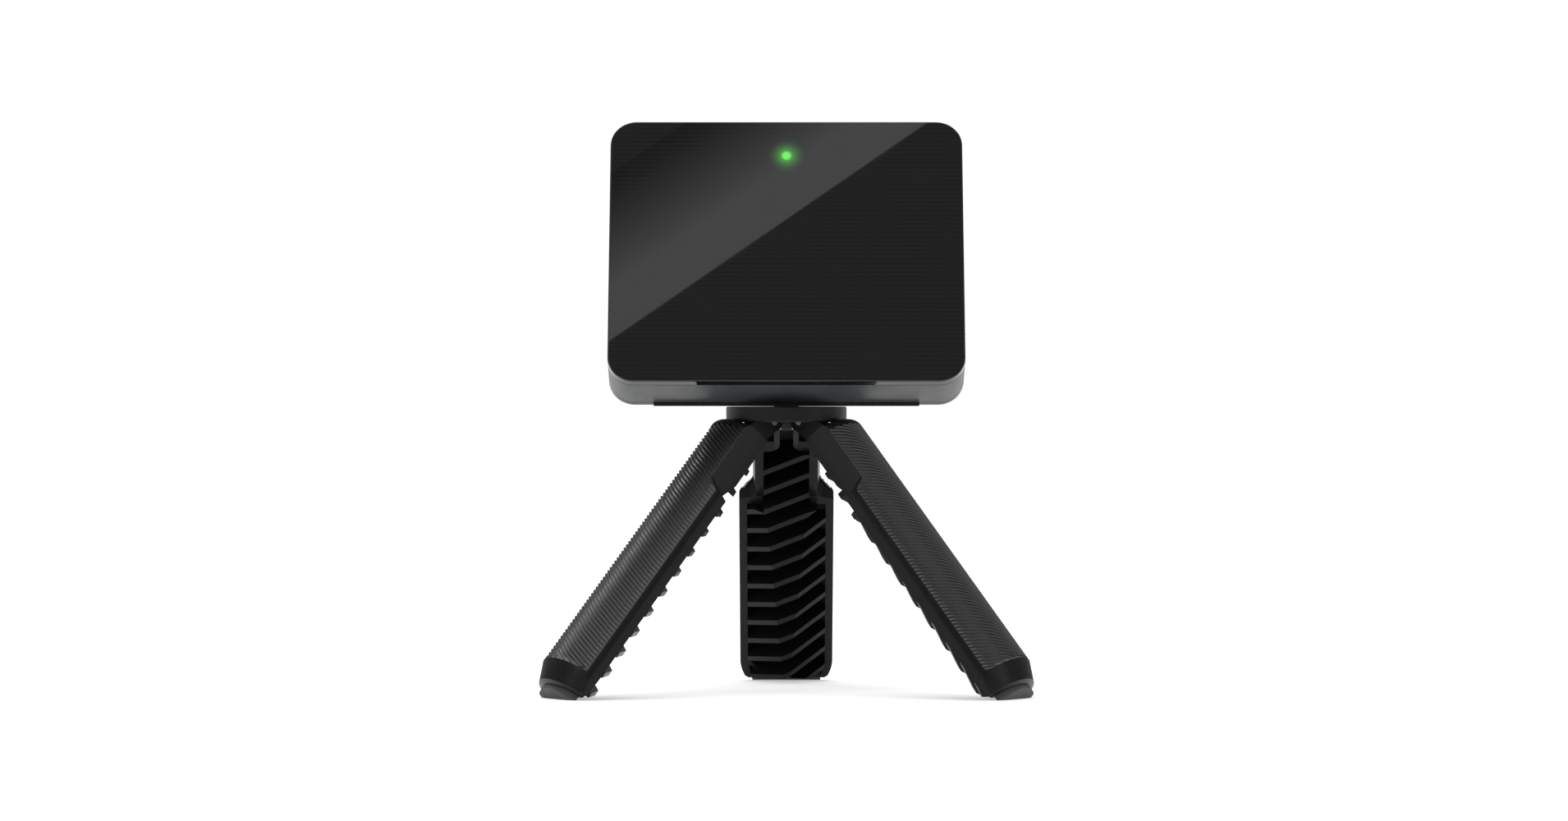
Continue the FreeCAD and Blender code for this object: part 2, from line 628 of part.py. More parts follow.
def leg_outside():
    solid = fused(leg_body().cut(shoulder_cuts()), [neck_rims()])
    top_back = [e for e in solid.Edges if e.BoundBox.ZMin > down(SHELL_TOP) - 0.01
                and e.BoundBox.YMax > SHELL_R]
    return solid.makeFillet(SIDE_ROUND, top_back).cut(grip_field())


def cavity_taper():
    """The cavity's own narrowing towards the foot, at its sides and at its round back."""
    sides = [(-CAVITY_HALF, -PAST), (-CAVITY_HALF, CAVITY_TAPER), (-CAVITY_END_HALF, CAVITY_END),
             (CAVITY_END_HALF, CAVITY_END), (CAVITY_HALF, CAVITY_TAPER), (CAVITY_HALF, -PAST)]
    front = prism([(x, -2 * PAST, down(distance)) for x, distance in sides], (0, 2 * PAST + AROUND, 0))
    cone = Part.makeCone(CAVITY_END_R, GRIP_R - SHELL_WALL, CAVITY_END - CAVITY_TAPER,
                         Vector(0, SHELL_CENTRE, down(CAVITY_END)))
    upper = rod(GRIP_R - SHELL_WALL, (0, SHELL_CENTRE, down(CAVITY_TAPER)), (0, SHELL_CENTRE, down(-PAST)))
    inward = block(-AROUND, AROUND, -2 * PAST, SHELL_CENTRE, down(CAVITY_END), down(-PAST))
    return front.common(fused(cone, [upper, inward]))


def leg_cavity():
    inner_r = GRIP_R - SHELL_WALL
    neck = shell_slice(inner_r, NECK_CAVITY_HALF, -PAST, NECK_CEILING, WIDE_CAVITY_START + 4)
    wide = shell_slice(inner_r, CAVITY_HALF, -PAST, WIDE_CAVITY_START, CAVITY_END).common(cavity_taper())
    cavity = fused(neck, [wide])
    corners = [e for e in cavity.Edges if abs(e.BoundBox.ZMin - down(WIDE_CAVITY_START)) < 0.01
               and abs(e.BoundBox.ZMax - e.BoundBox.ZMin) < 0.01
               and abs(abs(e.CenterOfMass.x) - NECK_CAVITY_HALF) < 0.01]
    return cavity.makeFillet(CAVITY_CORNER, corners)


def tooth_wedge():
    """How far the ribs stand out of the cavity's mouth: a wedge with a blunt, slanting edge."""
    edge = TOOTH_GAP + CAVITY_HALF * math.tan(math.radians(30))
    section = [(-CAVITY_HALF, SHELL_RIM), (-CAVITY_HALF, edge), (0, TOOTH_GAP), (CAVITY_HALF, edge),
               (CAVITY_HALF, SHELL_RIM)]
    wedge = prism([(x, y, down(CAVITY_END)) for x, y in section], (0, 0, CAVITY_END - WIDE_CAVITY_START))
    neck = block(-NECK_CAVITY_HALF, NECK_CAVITY_HALF, 0, SHELL_RIM, down(WIDE_CAVITY_START + 1),
                 down(NECK_CEILING))
    blunt = [(TOOTH_FLAT_TOP, NECK_CEILING), (TOOTH_FLAT_END, CAVITY_END), (-AROUND, CAVITY_END),
             (-AROUND, NECK_CEILING)]
    ground = [(y, ground_down(y) - TOOTH_LIFT) for y in (-AROUND, SHELL_RIM)]
    ground += [(SHELL_RIM, BELOW), (-AROUND, BELOW)]
    cuts = [across_the_leg(side_view) for side_view in (blunt, ground)]
    return fused(wedge.common(cavity_taper()), [neck]).cut(cuts)


def rib_field():
    """The space that ribs may fill: a little more than the cavity, and the wedge of the teeth."""
    inner_r = GRIP_R - SHELL_WALL + RIB_ROOT
    wide = shell_slice(inner_r, CAVITY_HALF + RIB_ROOT, SHELL_RIM, WIDE_CAVITY_START - 1,
                       CAVITY_END + RIB_ROOT)
    neck = shell_slice(inner_r, NECK_CAVITY_HALF + RIB_ROOT, NECK_RIM, NECK_CEILING - 0.5,
                       WIDE_CAVITY_START + 1)
    return fused(wide.common(leg_body()), [neck.cut(rim_ramp()), tooth_wedge()])


def rib_slabs():
    """Slanted slabs, evenly spaced down the leg."""
    slabs = []
    rise = AROUND * math.tan(math.radians(RIB_SLANT))
    half = RIB_THICK / 2 / math.cos(math.radians(RIB_SLANT))
    for index in range(RIB_COUNT):
        middle = FIRST_RIB + index * RIB_PITCH
        outline = [(-AROUND, middle + rise - half), (AROUND, middle - rise - half),
                   (AROUND, middle - rise + half), (-AROUND, middle + rise + half)]
        slabs.append(prism([(x, -PAST, down(distance)) for x, distance in outline], (0, PAST + AROUND, 0)))
    return slabs


def foot_gusset():
    """A strut that slants the other way, from the last rib's low end to the end wall."""
    strut = prism([(x, SHELL_RIM, down(distance)) for x, distance in GUSSET], (0, 6, 0))
    return strut.common(leg_body())


def leg_ears():
    """Two plates that reach from the neck up to the hinge pin."""
    ears = []
    for x0 in (-EAR_OUTER, EAR_INNER):
        x1 = x0 + EAR_OUTER - EAR_INNER
        outline = [(x0, PIVOT_R - EAR_R, down(0)), (x0, PIVOT_R + EAR_R, down(0)),
                   (x0, PIVOT_R + EAR_BACK, down(SHELL_TOP - 0.5)),
                   (x0, PIVOT_R + EAR_BACK, down(NECK_CEILING)),
                   (x0, NECK_RIM, down(NECK_CEILING))]
        web = prism(outline, (x1 - x0, 0, 0))
        ears.append(fused(web, [rod(EAR_R, (x0, PIVOT_R, PIVOT_Z), (x1, PIVOT_R, PIVOT_Z))]))
    return ears


def ground_down(y):
    """How far down a folded leg the ground will be, for a point at y, once the leg is open."""
    splay = math.radians(LEG_SPLAY)
    return (PIVOT_Z + (y - PIVOT_R) * math.sin(splay)) / math.cos(splay)


def rubber_foot():
    """A block with a narrow flat along its inner edge, on which the opened leg stands."""
    flat_end = PAD_INNER + SOLE_FLAT
    sole = ground_down(flat_end)
    outer = SHELL_CENTRE + PAD_R
    side_view = [(PAD_INNER, PAD_SEAT), (PAD_INNER, ground_down(PAD_INNER)), (flat_end, sole),
                 (outer, PAD_OUTER_END), (outer, PAD_SEAT)]
    solid = prism([(-PAD_HALF, y, down(distance)) for y, distance in side_view], (2 * PAD_HALF, 0, 0))
    solid = solid.common(rod(PAD_R, (0, SHELL_CENTRE, down(PAD_SEAT)), (0, SHELL_CENTRE, -FAR)))
    for side in (-1, 1):
        rise = [(side * SOLE_HALF, BELOW), (side * SOLE_HALF, sole), (side * PAD_HALF, sole - SOLE_LIFT),
                (side * AROUND, sole - SOLE_LIFT), (side * AROUND, BELOW)]
        solid = solid.cut(prism([(x, 0, down(distance)) for x, distance in rise], (0, AROUND, 0)))
    return solid


def ear_gap():
    """The gap between the ears, rounded out where it opens into the cavity."""
    gap = block(-EAR_INNER, EAR_INNER, -PAST, EAR_GAP_END, down(NECK_CEILING), down(-PAST))
    half = EAR_INNER + EAR_ROUND
    round_start = down(NECK_CEILING - EAR_ROUND)
    flare = block(-half, half, -PAST, EAR_GAP_END, down(NECK_CEILING + 0.1), round_start)
    corners = [rod(EAR_ROUND, (x, -AROUND, round_start), (x, AROUND, round_start)) for x in (-half, half)]
    return [gap, flare.cut(corners)]


def leg_shell():
    solid = leg_outside().cut(leg_cavity())
    ribs = rib_field().common(group(rib_slabs()))
    solid = fused(solid, ribs.Solids + [foot_gusset()] + leg_ears())
    bore = rod(PIN_R + PIN_FIT, (-AROUND, PIVOT_R, PIVOT_Z), (AROUND, PIVOT_R, PIVOT_Z))
    return solid.cut(ear_gap() + [bore, rubber_foot()])


# ---- Assembly ------------------------------------------------------------------------------
HEAD_PARTS = {
    "front_panel": front_panel, "face_gasket": face_gasket, "mid_frame": mid_frame,
    "cover_gasket": cover_gasket, "cover_screws": cover_screws, "antenna_board": antenna_board,
    "transmit_patches": lambda: patches(TRANSMIT_COLUMNS),
    "receive_patches": lambda: patches(RECEIVE_COLUMNS),
    "radar_chip": radar_chip, "radar_shield": radar_shield, "board_link": board_link,
    "board_spacers": board_spacers, "board_screws": board_screws, "main_board": main_board,
    "processor_chip": processor_chip, "processor_shield": processor_shield,
    "wireless_module": wireless_module, "board_parts": board_parts, "battery_cell": battery_cell,
    "battery_foam": battery_foam, "battery_lead": battery_lead, "status_led": status_led,
    "light_pipe": light_pipe, "power_button": power_button, "button_switch": button_switch,
    "usb_socket": usb_socket, "usb_cap": usb_cap, "usb_cap_pin": usb_cap_pin,
}
UPRIGHT_PARTS = {
    "rear_cover": rear_cover, "tripod_insert": tripod_insert, "platform_disc": platform_disc,
    "platform_pad": platform_pad, "tripod_stud": tripod_stud, "stud_screw": stud_screw,
    "hinge_washers": hinge_washers,
}


def build():
    shapes = {name: place_head(make()) for name, make in HEAD_PARTS.items()}
    shapes.update({name: make() for name, make in UPRIGHT_PARTS.items()})
    shell, foot, pin = leg_shell(), rubber_foot(), leg_pin()
    for side, turn in LEG_TURNS.items():
        shapes["leg_" + side] = place_leg(shell, turn)
        shapes["foot_" + side] = place_leg(foot, turn)
        shapes["pin_" + side] = turned(pin, turn)
    return shapes


def centred(shapes):
    """Move everything so that the box of the whole object is centred over the origin."""
    box = group(list(shapes.values())).optimalBoundingBox(False, False)
    shift = Vector(-(box.XMin + box.XMax) / 2, -(box.YMin + box.YMax) / 2, 0)
    print("tripod axis at x %.4f y %.4f, lowest point %.4f" % (shift.x, shift.y, box.ZMin))
    for shape in shapes.values():
        shape.translate(shift)
    return shapes


os.makedirs("parts", exist_ok=True)
for node, shape in centred(build()).items():
    shape.exportStep("parts/%s.step" % node)
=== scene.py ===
import json
import math

import bmesh
import bpy
from mathutils import Matrix, Vector


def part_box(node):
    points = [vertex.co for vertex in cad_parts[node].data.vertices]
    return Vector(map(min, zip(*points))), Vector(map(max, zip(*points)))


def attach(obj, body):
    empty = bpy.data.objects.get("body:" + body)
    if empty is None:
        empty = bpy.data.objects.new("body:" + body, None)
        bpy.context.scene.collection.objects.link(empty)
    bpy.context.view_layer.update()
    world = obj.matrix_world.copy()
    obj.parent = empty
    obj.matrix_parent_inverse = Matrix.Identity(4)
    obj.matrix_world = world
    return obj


# Looks for the launch monitor: a glossy radar head on a mini tripod. Metres, +Z up, face towards -Y.
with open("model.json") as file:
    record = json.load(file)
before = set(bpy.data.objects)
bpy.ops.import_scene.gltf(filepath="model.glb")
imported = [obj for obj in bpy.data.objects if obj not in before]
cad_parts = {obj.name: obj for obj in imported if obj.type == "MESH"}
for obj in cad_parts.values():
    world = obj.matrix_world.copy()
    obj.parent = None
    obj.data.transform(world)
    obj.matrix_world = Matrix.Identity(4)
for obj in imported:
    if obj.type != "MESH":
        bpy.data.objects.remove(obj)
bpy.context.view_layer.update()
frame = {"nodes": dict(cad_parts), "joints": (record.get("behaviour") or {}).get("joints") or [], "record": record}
nodes = frame["nodes"]
joints = {joint["name"]: joint for joint in frame["joints"]}

MM = 0.001


def middle(node):
    low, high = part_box(node)
    return (low + high) / 2


# ---- Places read from the frame ------------------------------------------------------------
AXIS = middle("platform_disc").to_2d().to_3d()                  # the tripod's axis, on the floor
HEAD_IN = -Vector(joints["button_press"]["axis"]).normalized()  # into the face; the button is behind
HEAD_TILT = math.atan2(-HEAD_IN.z, HEAD_IN.y)
HEAD_UP = Vector((0, math.sin(HEAD_TILT), math.cos(HEAD_TILT)))
LIGHT = middle("light_pipe")
PIVOT = middle("pin_rear")
LEG_SPLAY = math.radians(joints["leg_rear_fold"]["range_deg"][1])
LEG_TURNS = {"rear": 0.0, "left": math.radians(120), "right": math.radians(240)}

# ---- Grip ridges: driving dimensions, in millimetres, on a leg that hangs folded -----------
CREST_R = 15.35             # the ridges' crests are level with the smooth boot
SHELL_CENTRE = 0.5          # centre of the leg's round back, from the axis
RIDGE_SLANT = math.radians(24)
RIDGE_PITCH = 0.932         # square across the ridges
RIDGE_DEPTH = 0.36
SKIN_THICK = 0.75           # the hidden underside lies in the leg's wall
RIDGE_PROFILE = ((0.0, 0.0), (0.2, 0.1), (0.38, 0.82), (0.5, 1.0), (0.62, 0.82), (0.8, 0.1))
GRIP_TOP = 8.95             # down from the hinge pin
GRIP_END = 82.45
NECK_HALF = 8.42
BAND_HALF = 11.15           # where the skin ends beside the smooth side bands
SHOULDER = (23.4, 26.4)
FADE_HALF = (9.9, 10.9)     # the valleys run out between these
FADE_END = 81.6
GRIP_COLUMNS = 30
SHARP_ANGLE = math.radians(40)      # steeper edges of the skin stay sharp


# ---- Small helpers -------------------------------------------------------------------------
def smooth_step(low, high, value):
    share = min(1.0, max(0.0, (value - low) / (high - low)))
    return share * share * (3 - 2 * share)


def leg_matrix(side):
    """From a folded rear leg's place, with the tripod's axis as origin, to an opened leg's."""
    pivot = PIVOT - AXIS
    swing = (Matrix.Translation(pivot) @ Matrix.Rotation(LEG_SPLAY, 4, "X")
             @ Matrix.Translation(-pivot))
    return Matrix.Translation(AXIS) @ Matrix.Rotation(LEG_TURNS[side], 4, "Z") @ swing


def new_piece(name, mesh_maker, body, material):
    """A mesh object made by mesh_maker(bm), riding on a body."""
    bm = bmesh.new()
    mesh_maker(bm)
    bmesh.ops.recalc_face_normals(bm, faces=bm.faces)
    mesh = bpy.data.meshes.new(name)
    bm.to_mesh(mesh)
    bm.free()
    mesh.shade_smooth()
    mesh.set_sharp_from_angle(angle=SHARP_ANGLE)
    mesh.materials.append(material)
    piece = bpy.data.objects.new(name, mesh)
    bpy.context.scene.collection.objects.link(piece)
    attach(piece, body)
    return piece


# ---- Node helpers --------------------------------------------------------------------------
def add(tree, kind, inputs=None, **settings):
    """A node whose inputs are values, or sockets to link from."""
    node = tree.nodes.new(kind)
    for key, value in settings.items():
        setattr(node, key, value)
    for key, value in (inputs or {}).items():
        if isinstance(value, bpy.types.NodeSocket):
            tree.links.new(value, node.inputs[key])
        else:
            node.inputs[key].default_value = value
    return node


def math_node(tree, operation, first, second=0.0, third=0.0):
    return add(tree, "ShaderNodeMath", {0: first, 1: second, 2: third}, operation=operation).outputs[0]


def place(tree):
    """Object coordinates, which are row coordinates at rest, and move with the part."""
    return add(tree, "ShaderNodeTexCoord").outputs["Object"]


def head_place(tree):
    """Coordinates from the status light: x across, y into the head, z up the face."""
    node = add(tree, "ShaderNodeMapping", {"Vector": place(tree)}, vector_type="TEXTURE")
    node.inputs["Location"].default_value = LIGHT
    node.inputs["Rotation"].default_value = (-HEAD_TILT, 0, 0)
    return node.outputs[0]


def noise(tree, where, size, detail=3.0, rough=0.5):
    """Noise with features of about the given size, in metres."""
    return add(tree, "ShaderNodeTexNoise", {"Vector": where, "Scale": 1 / size, "Detail": detail,
                                            "Roughness": rough}).outputs["Fac"]


def spread(tree, value, low, high, into=(0.3, 0.7)):
    """Map noise, which mostly lies between the two values of into, to low..high."""
    return add(tree, "ShaderNodeMapRange", {"Value": value, "From Min": into[0], "From Max": into[1],
                                            "To Min": low, "To Max": high}).outputs[0]


def between(tree, share, first, second):
    node = add(tree, "ShaderNodeMix", {"Factor": share}, data_type="RGBA")
    node.inputs[6].default_value = (*first, 1)
    node.inputs[7].default_value = (*second, 1)
    return node.outputs[2]


def bump(tree, height, distance, strength):
    return add(tree, "ShaderNodeBump", {"Height": height, "Distance": distance,
                                        "Strength": strength}).outputs[0]


def new_material(name):
    material = bpy.data.materials.new(name)
    material.use_nodes = True
    tree = material.node_tree
    shader = next(node for node in tree.nodes if node.type == "BSDF_PRINCIPLED")
    return material, tree, shader


def grey(value, tint=0.0):
    """A grey, cooler for a positive tint."""
    return (value * (1 - tint), value, value * (1 + tint))


# ---- Materials -----------------------------------------------------------------------------
def moulded(name, tone, roughness, grain=0.35 * MM, depth=0.012 * MM, drift=0.12, tint=0.03, spec=0.5):
    """Moulded plastic or rubber: eroded grain, a slight drift of tone, handled patches."""
    material, tree, shader = new_material(name)
    where = place(tree)
    patches = noise(tree, where, 14 * MM, 4)
    tree.links.new(between(tree, spread(tree, patches, 0, 1), grey(tone * (1 - drift), tint),
                           grey(tone * (1 + drift), tint)), shader.inputs["Base Color"])
    handled = noise(tree, where, 6 * MM, 5, 0.6)
    tree.links.new(spread(tree, handled, roughness * 0.88, roughness * 1.12), shader.inputs["Roughness"])
    tree.links.new(bump(tree, noise(tree, where, grain, 2), depth, 0.5), shader.inputs["Normal"])
    shader.inputs["Specular IOR Level"].default_value = spec
    return material


BRUSHED = 0.3                   # how much the streaks in metal change its roughness
STREAK_DRIFT = 0.1              # and how much they darken it


def metal(name, colour, roughness):
    """Turned or stamped metal: fine streaks and a slight drift of colour."""
    material, tree, shader = new_material(name)
    where = place(tree)
    stretched = add(tree, "ShaderNodeMapping", {"Vector": where, "Scale": (1, 1, 12)}).outputs[0]
    streaks = noise(tree, stretched, 0.6 * MM, 4)
    low = tuple(c * (1 - STREAK_DRIFT) for c in colour)
    tree.links.new(between(tree, streaks, low, colour), shader.inputs["Base Color"])
    tree.links.new(spread(tree, streaks, roughness * (1 - BRUSHED), roughness * (1 + BRUSHED)),
                   shader.inputs["Roughness"])
    tree.links.new(bump(tree, streaks, 0.004 * MM, 0.6), shader.inputs["Normal"])
    shader.inputs["Metallic"].default_value = 1.0
    return material


def circuit(name):
    """Green solder mask over copper tracks."""
    material, tree, shader = new_material(name)
    where = place(tree)
    cells = add(tree, "ShaderNodeTexBrick", {"Vector": where, "Scale": 420.0, "Mortar Size": 0.05,
                                             "Color1": (0.008, 0.07, 0.035, 1),
                                             "Color2": (0.006, 0.055, 0.03, 1),
                                             "Mortar": (0.02, 0.13, 0.06, 1)})
    tree.links.new(cells.outputs["Color"], shader.inputs["Base Color"])
    tree.links.new(bump(tree, cells.outputs["Fac"], 0.03 * MM, 0.6), shader.inputs["Normal"])
    tree.links.new(spread(tree, noise(tree, where, 4 * MM), 0.28, 0.4), shader.inputs["Roughness"])
    return material


def foil(name):
    """The battery's crinkled silver pouch, painted darker in the hollows of its folds and lighter on their crests.
    """
    material, tree, shader = new_material(name)
    where = place(tree)
    folds_and_painted_shade = noise(tree, where, 3 * MM, 5, 0.65)
    # painted shade: the colour follows the height of the folds, darker in their hollows and lighter on their
    # crests
    tree.links.new(between(tree, folds_and_painted_shade, (0.5, 0.5, 0.52), (0.75, 0.75, 0.77)),
                   shader.inputs["Base Color"])
    tree.links.new(bump(tree, folds_and_painted_shade, 0.15 * MM, 0.5), shader.inputs["Normal"])
    tree.links.new(spread(tree, folds_and_painted_shade, 0.25, 0.4), shader.inputs["Roughness"])
    shader.inputs["Metallic"].default_value = 1.0
    return material


GLOW = (0.16, 1.0, 0.11)        # colour of the status light
CORE_FADE = (0.8 * MM, 1.5 * MM)    # the core fades out between these, from the light's centre
CORE_STRENGTH = 0.35
HALO_REACH = 6.0 * MM
HALO_POWER = 3.4
HALO_STRENGTH = 0.66
LINE_PITCH = 1.2 * MM           # fine lines printed across the face


def glow_strength(tree, where):
    """Bright core, then a halo that fades out, seen through the dark panel."""
    flat = add(tree, "ShaderNodeVectorMath", {0: where, 1: (1, 0, 1)}, operation="MULTIPLY")
    radius = add(tree, "ShaderNodeVectorMath", {0: flat.outputs[0]}, operation="LENGTH").outputs["Value"]
    core = add(tree, "ShaderNodeMapRange", {"Value": radius, "From Min": CORE_FADE[0],
                                            "From Max": CORE_FADE[1], "To Min": CORE_STRENGTH,
                                            "To Max": 0.0}, interpolation_type="SMOOTHSTEP").outputs[0]
    halo = add(tree, "ShaderNodeMapRange", {"Value": radius, "From Min": 0.0, "From Max": HALO_REACH,
                                            "To Min": 1.0, "To Max": 0.0}).outputs[0]
    halo = math_node(tree, "POWER", halo, HALO_POWER)
    return math_node(tree, "MULTIPLY_ADD", halo, HALO_STRENGTH, core)


def panel_gloss(name):
    """Glossy smoked window with fine printed lines, and the light that shines through it."""
    material, tree, shader = new_material(name)
    where = head_place(tree)
    up = add(tree, "ShaderNodeSeparateXYZ", {"Vector": where}).outputs["Z"]
    turns = math_node(tree, "MULTIPLY", up, 2 * math.pi / LINE_PITCH)
    wave = math_node(tree, "SINE", turns)
    line = add(tree, "ShaderNodeMapRange", {"Value": wave, "From Min": 0.55, "From Max": 0.95}).outputs[0]
    broken = math_node(tree, "MULTIPLY", line, spread(tree, noise(tree, where, 9 * MM), 0.35, 1.0))
    paint = between(tree, broken, grey(0.0085, 0.04), grey(0.0022, 0.04))
    tree.links.new(paint, shader.inputs["Base Color"])
    tree.links.new(spread(tree, noise(tree, where, 8 * MM, 4), 0.008, 0.016), shader.inputs["Roughness"])
    shader.inputs["Emission Color"].default_value = (*GLOW, 1)
    tree.links.new(glow_strength(tree, where), shader.inputs["Emission Strength"])
    return material


def light_material(name, colour, strength, size):
    """A lit, slightly cloudy light guide."""
    material, tree, shader = new_material(name)
    cloud = noise(tree, place(tree), size, 3)
    tree.links.new(between(tree, cloud, tuple(0.7 * c for c in colour), colour),
                   shader.inputs["Emission Color"])
    tree.links.new(between(tree, cloud, (0.03, 0.05, 0.03), (0.05, 0.08, 0.05)),
                   shader.inputs["Base Color"])
    shader.inputs["Emission Strength"].default_value = strength
    shader.inputs["Roughness"].default_value = 0.25
    return material


MATERIALS = {
    "panel_gloss": panel_gloss("panel_gloss"),
    "housing_grey": moulded("housing_grey", 0.05, 0.42, tint=0.05, spec=0.6),
    "housing_black": moulded("housing_black", 0.014, 0.3, tint=0.03),
    "button_black": moulded("button_black", 0.014, 0.3),
    "platform_black": moulded("platform_black", 0.006, 0.36, spec=0.2),
    "leg_black": moulded("leg_black", 0.0065, 0.34, tint=0.03, spec=0.2),
    "grip_black": moulded("grip_black", 0.009, 0.34, tint=0.03),
    "seal_rubber": moulded("seal_rubber", 0.006, 0.75, drift=0.2),
    "foot_rubber": moulded("foot_rubber", 0.04, 0.6, grain=0.5 * MM, depth=0.02 * MM),
    "foam_black": moulded("foam_black", 0.02, 0.95, grain=0.8 * MM, depth=0.2 * MM, drift=0.3),
    "screw_black": metal("screw_black", (0.05, 0.05, 0.052), 0.35),
    "screw_steel": metal("screw_steel", (0.62, 0.62, 0.63), 0.28),
    "insert_brass": metal("insert_brass", (0.72, 0.52, 0.24), 0.3),
    "circuit_board": circuit("circuit_board"),
    "patch_gold": metal("patch_gold", (0.85, 0.62, 0.28), 0.25),
    "chip_black": moulded("chip_black", 0.018, 0.5, drift=0.15),
    "shield_metal": metal("shield_metal", (0.66, 0.66, 0.66), 0.32),
    "cell_foil": foil("cell_foil"),
    "connector_white": moulded("connector_white", 0.55, 0.4, drift=0.05, tint=-0.03),
    "led_white": light_material("led_white", GLOW, 1.5, 0.5 * MM),
    "light_green": light_material("light_green", GLOW, 1.0, 0.4 * MM),
    "washer_nylon": moulded("washer_nylon", 0.5, 0.45, drift=0.06, tint=-0.02),
}


def paint_nodes():
    """Give every CAD node the material of its slot in the record."""
    slot_of = {row["node"]: row["material_slot"] for row in frame["record"]["subparts"]}
    for name, piece in nodes.items():
        for holder in piece.material_slots:
            holder.link = "OBJECT"
            holder.material = MATERIALS[slot_of[name]]


# ---- Grips ---------------------------------------------------------------------------------
def grip_half(down):
    """Half the width of the ridged field at a distance down the leg."""
    return NECK_HALF + (BAND_HALF - NECK_HALF) * smooth_step(*SHOULDER, down)


def grip_point(along, share, height):
    """A point of the skin: along counts across the ridges, share runs from side to side.

    Height is 1 on a crest, 0 in a valley, and None on the hidden underside."""
    across = 0.0
    for _ in range(6):
        down = (along - across * math.sin(RIDGE_SLANT)) / math.cos(RIDGE_SLANT)
        across = share * grip_half(down)
    if height is None:
        radius = CREST_R - SKIN_THICK
    else:
        cut = (1 - smooth_step(*FADE_HALF, abs(across))) * (1 - smooth_step(FADE_END, GRIP_END, down))
        radius = CREST_R - RIDGE_DEPTH * (1 - height) * cut
    return (across, SHELL_CENTRE + math.sqrt(radius * radius - across * across), down)


def ridge_rows():
    """Distance across the ridges and height, for every row of the skin."""
    overhang = BAND_HALF * math.sin(RIDGE_SLANT)
    start = GRIP_TOP * math.cos(RIDGE_SLANT) - overhang
    length = (GRIP_END - GRIP_TOP) * math.cos(RIDGE_SLANT) + 2 * overhang
    for index in range(math.ceil(length / RIDGE_PITCH) + 1):
        for step, height in RIDGE_PROFILE:
            yield start + (index + step) * RIDGE_PITCH, height


def trim(bm, height, keep_above):
    """Cut the skin off level, square to the leg, and close it."""
    side = -1 if keep_above else 1
    cut = bmesh.ops.bisect_plane(bm, geom=bm.verts[:] + bm.edges[:] + bm.faces[:], dist=1e-7,
                                 plane_co=(0, 0, height), plane_no=(0, 0, side), clear_outer=True)
    edges = [item for item in cut["geom_cut"] if isinstance(item, bmesh.types.BMEdge)]
    bmesh.ops.holes_fill(bm, edges=edges, sides=0)


def grip_mesh(side):
    """A closed ridged skin: its underside is hidden in the leg's wall."""
    pivot_z = (PIVOT - AXIS).z

    def vertex(bm, along, share, height):
        across, out, down = grip_point(along, share, height)
        return bm.verts.new(Vector((across * MM, out * MM, pivot_z - down * MM)))

    def make(bm):
        shares = [2 * index / GRIP_COLUMNS - 1 for index in range(GRIP_COLUMNS + 1)]
        rows = [[vertex(bm, along, share, height) for share in shares]
                + [vertex(bm, along, share, None) for share in reversed(shares)]
                for along, height in ridge_rows()]
        for first, second in zip(rows, rows[1:]):
            for index in range(len(first)):
                after = (index + 1) % len(first)
                bm.faces.new((first[index], first[after], second[after], second[index]))
        bm.faces.new(rows[0])
        bm.faces.new(rows[-1])
        bmesh.ops.recalc_face_normals(bm, faces=bm.faces)
        trim(bm, pivot_z - GRIP_TOP * MM, keep_above=False)
        trim(bm, pivot_z - GRIP_END * MM, keep_above=True)
        bmesh.ops.transform(bm, matrix=leg_matrix(side), verts=bm.verts)
    return make


def make_grips():
    for side in LEG_TURNS:
        new_piece("grip_" + side, grip_mesh(side), "leg_" + side, MATERIALS["grip_black"])


# ---- Softened edges ------------------------------------------------------------------------
SOFT_EDGES = {"leg_rear": 0.25, "leg_left": 0.25, "leg_right": 0.25, "rear_cover": 0.15,
              "mid_frame": 0.12, "usb_cap": 0.12, "platform_disc": 0.1}


def soften_edges():
    """Round the visible edges of the moulded parts by modifiers."""
    for name, width in SOFT_EDGES.items():
        piece = nodes[name]
        weld = piece.modifiers.new("join", "WELD")
        weld.merge_threshold = 0.001 * MM
        tidy = piece.modifiers.new("flats", "DECIMATE")
        tidy.decimate_type = "DISSOLVE"
        tidy.angle_limit = math.radians(0.5)
        bevel = piece.modifiers.new("edges", "BEVEL")
        bevel.width = width * MM
        bevel.segments = 2
        bevel.limit_method = "ANGLE"
        bevel.angle_limit = math.radians(35)
        bevel.miter_outer = "MITER_ARC"
        normals = piece.modifiers.new("normals", "WEIGHTED_NORMAL")
        normals.keep_sharp = True


# ---- Studio --------------------------------------------------------------------------------
CAMERA_AWAY = 1.2494            # in front of the tripod's axis
CAMERA_HEIGHT = 0.0639
CAMERA_ASIDE = -0.0006
CAMERA_PITCH = math.radians(0.285)
CAMERA_LENS = 115.2
FLOOR_SIZE = 30.0
CARD_AWAY = 0.8                 # from the face to the card that it mirrors
CARD_EDGE = ((35.7 * MM, 9.5 * MM), (-44 * MM, -51.1 * MM))     # its reflection, from the light
CARD_FAR = (-44 * MM, 9.5 * MM)     # the corner of the face in which it has faded away
CARD_FADE = (0.24, 0.76)        # where the fade starts and ends, as shares of the way to that corner
CARD_FADE_POWER = 1.5
CARD_GLOW = 1.27
CARD_DIM = 0.13                 # faded, it is as dim as the room behind it
CARD_LENGTH = 0.6


